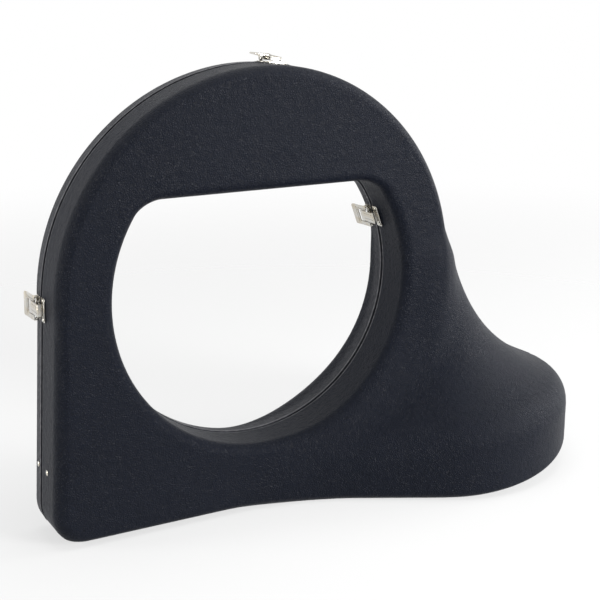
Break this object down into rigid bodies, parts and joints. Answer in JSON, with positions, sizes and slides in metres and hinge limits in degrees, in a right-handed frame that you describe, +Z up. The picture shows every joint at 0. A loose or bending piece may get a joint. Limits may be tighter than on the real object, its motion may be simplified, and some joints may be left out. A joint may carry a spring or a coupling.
{
  "type": "hunting horn case",
  "caption": "Rigid two-shell case for a large wound hunting horn: a ring with a carrying opening and a round bell pocket, hinged along its base, with drawbolt latches.",
  "frame": {"origin": "middle of the footprint, on the floor that the case stands on, in the seam between the shells", "axes": "+X towards the bell pocket, +Y towards the back shell, +Z up; the seam is the plane Y = 0"},
  "size_m": [0.6584, 0.308, 0.4927],
  "materials": {
    "leather_grain_skin": "navy black leather-grain skin, satin",
    "plush_lining": "short plush, dark wine",
    "nickel": "bright nickel plate",
    "black_trim": "black, semi-matt",
    "webbing": "flat woven tape, black"
  },
  "bodies": {
    "front_half": {"front_shell": "leather_grain_skin", "front_lining": "plush_lining", "mouthpiece_block": "plush_lining", "outer_tongue": "black_trim", "inner_tongue": "black_trim", "stay_rivet_front": "nickel", "lid_stay_strap": "webbing", "hinge_left_front_leaf": "nickel", "hinge_left_pin": "nickel", "hinge_middle_front_leaf": "nickel", "hinge_middle_pin": "nickel", "hinge_right_front_leaf": "nickel", "hinge_right_pin": "nickel", "latch_top_catch": "nickel", "latch_top_catch_rivet_1": "nickel", "latch_top_catch_rivet_2": "nickel", "latch_left_catch": "nickel", "latch_left_catch_rivet_1": "nickel", "latch_left_catch_rivet_2": "nickel", "latch_right_inner_catch": "nickel", "latch_right_inner_catch_rivet_1": "nickel", "latch_right_inner_catch_rivet_2": "nickel", "latch_left_inner_catch": "nickel", "latch_left_inner_catch_rivet_1": "nickel", "latch_left_inner_catch_rivet_2": "nickel"},
    "back_half": {"back_shell": "leather_grain_skin", "back_lining": "plush_lining", "stay_rivet_back": "nickel", "hinge_left_back_leaf": "nickel", "hinge_middle_back_leaf": "nickel", "hinge_right_back_leaf": "nickel", "latch_top_base": "nickel", "latch_top_lever_pin": "nickel", "latch_top_base_rivet_1": "nickel", "latch_top_base_rivet_2": "nickel", "latch_left_base": "nickel", "latch_left_lever_pin": "nickel", "latch_left_base_rivet_1": "nickel", "latch_left_base_rivet_2": "nickel", "latch_right_inner_base": "nickel", "latch_right_inner_lever_pin": "nickel", "latch_right_inner_base_rivet_1": "nickel", "latch_right_inner_base_rivet_2": "nickel", "latch_left_inner_base": "nickel", "latch_left_inner_lever_pin": "nickel", "latch_left_inner_base_rivet_1": "nickel", "latch_left_inner_base_rivet_2": "nickel"},
    "top_lever": {"latch_top_lever": "nickel", "latch_top_hook_pin": "nickel"},
    "top_hook": {"latch_top_hook": "nickel"},
    "left_lever": {"latch_left_lever": "nickel", "latch_left_hook_pin": "nickel"},
    "left_hook": {"latch_left_hook": "nickel"},
    "right_inner_lever": {"latch_right_inner_lever": "nickel", "latch_right_inner_hook_pin": "nickel"},
    "right_inner_hook": {"latch_right_inner_hook": "nickel"},
    "left_inner_lever": {"latch_left_inner_lever": "nickel", "latch_left_inner_hook_pin": "nickel"},
    "left_inner_hook": {"latch_left_inner_hook": "nickel"}
  },
  "joints": [
    {"name": "lid_hinge", "type": "hinge", "parent": "front_half", "child": "back_half", "pos_m": [0, 0, 0.0019], "axis": [-1, 0, 0], "range_deg": [0, 85], "deforming": ["lid_stay_strap"]},
    {"name": "top_lever_pivot", "type": "hinge", "parent": "back_half", "child": "top_lever", "pos_m": [-0.05301, 0.005, 0.48683], "axis": [0.9939, 0, -0.1101], "range_deg": [0, 110]},
    {"name": "top_hook_pivot", "type": "hinge", "parent": "top_lever", "child": "top_hook", "pos_m": [-0.05296, 0.01399, 0.4873], "axis": [0.9939, 0, -0.1101], "range_deg": [-110, 0]},
    {"name": "left_lever_pivot", "type": "hinge", "parent": "back_half", "child": "left_lever", "pos_m": [-0.32156, 0.005, 0.24788], "axis": [0.0208, 0, 0.9998], "range_deg": [0, 110]},
    {"name": "left_hook_pivot", "type": "hinge", "parent": "left_lever", "child": "left_hook", "pos_m": [-0.32203, 0.01399, 0.24789], "axis": [0.0208, 0, 0.9998], "range_deg": [-110, 0]},
    {"name": "right_inner_lever_pivot", "type": "hinge", "parent": "back_half", "child": "right_inner_lever", "pos_m": [0.07422, 0.005, 0.30553], "axis": [-0.342, 0, 0.9397], "range_deg": [0, 110]},
    {"name": "right_inner_hook_pivot", "type": "hinge", "parent": "right_inner_lever", "child": "right_inner_hook", "pos_m": [0.07378, 0.01399, 0.30537], "axis": [-0.342, 0, 0.9397], "range_deg": [-110, 0]},
    {"name": "left_inner_lever_pivot", "type": "hinge", "parent": "back_half", "child": "left_inner_lever", "pos_m": [-0.24302, 0.005, 0.30553], "axis": [-0.342, 0, -0.9397], "range_deg": [0, 110]},
    {"name": "left_inner_hook_pivot", "type": "hinge", "parent": "left_inner_lever", "child": "left_inner_hook", "pos_m": [-0.24258, 0.01399, 0.30537], "axis": [-0.342, 0, -0.9397], "range_deg": [-110, 0]}
  ],
  "couplings": [
    {"joint": "top_hook_pivot", "follows": "top_lever_pivot", "ratio": -1},
    {"joint": "left_hook_pivot", "follows": "left_lever_pivot", "ratio": -1},
    {"joint": "right_inner_hook_pivot", "follows": "right_inner_lever_pivot", "ratio": -1},
    {"joint": "left_inner_hook_pivot", "follows": "left_inner_lever_pivot", "ratio": -1}
  ]
}
